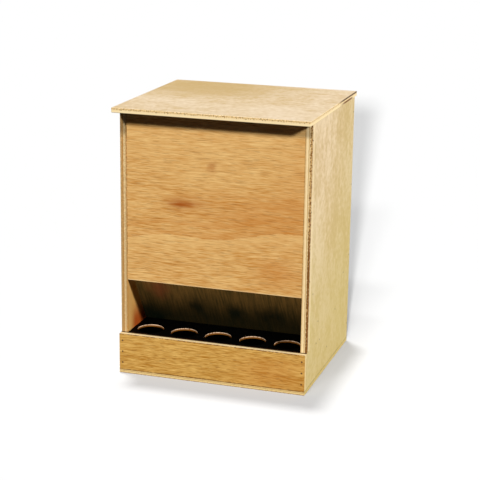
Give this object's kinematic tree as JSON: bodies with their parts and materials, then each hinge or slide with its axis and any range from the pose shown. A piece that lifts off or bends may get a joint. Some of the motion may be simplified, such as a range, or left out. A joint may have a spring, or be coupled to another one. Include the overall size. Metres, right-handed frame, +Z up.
{
  "type": "hopper bird feeder",
  "caption": "Free-standing plywood hopper feeder: a tall grain box with a hinged flat lid, and a sloping baffle above a low front trough whose board has round feeding holes.",
  "frame": {"origin": "middle of the underside of the bottom panel", "axes": "+X to the feeder's right as its front is faced, +Y to its back, +Z up"},
  "size_m": [0.358, 0.3351, 0.493],
  "materials": {
    "side_plywood": "pale clear-varnished plywood",
    "front_plywood": "warm clear-varnished plywood",
    "lid_plywood": "pale clear-varnished plywood",
    "dark_plywood": "dark stained plywood",
    "black_plywood": "matt black paint, bare in the holes",
    "hinge_steel": "zinc plated",
    "nail_steel": "dull plain steel"
  },
  "bodies": {
    "cabinet": {"left_side_panel": "side_plywood", "right_side_panel": "side_plywood", "back_panel": "side_plywood", "bottom_panel": "side_plywood", "hopper_floor": "side_plywood", "front_panel": "front_plywood", "front_rail": "front_plywood", "baffle_board": "dark_plywood", "feeding_board": "black_plywood", "left_hinge_body_leaf": "hinge_steel", "left_hinge_pin": "hinge_steel", "right_hinge_body_leaf": "hinge_steel", "right_hinge_pin": "hinge_steel", "hinge_body_screws": "hinge_steel", "rail_nails": "nail_steel", "bottom_nails": "nail_steel", "front_panel_nails": "nail_steel", "back_panel_nails": "nail_steel", "feeding_board_nails": "nail_steel", "baffle_nails": "nail_steel", "hopper_floor_nails": "nail_steel"},
    "lid": {"lid": "lid_plywood", "left_hinge_lid_leaf": "hinge_steel", "right_hinge_lid_leaf": "hinge_steel", "hinge_lid_screws": "hinge_steel"}
  },
  "joints": [
    {"name": "lid_hinge", "type": "hinge", "parent": "cabinet", "child": "lid", "pos_m": [0, 0.1587, 0.484], "axis": [-1, 0, 0], "range_deg": [0, 180]}
  ]
}
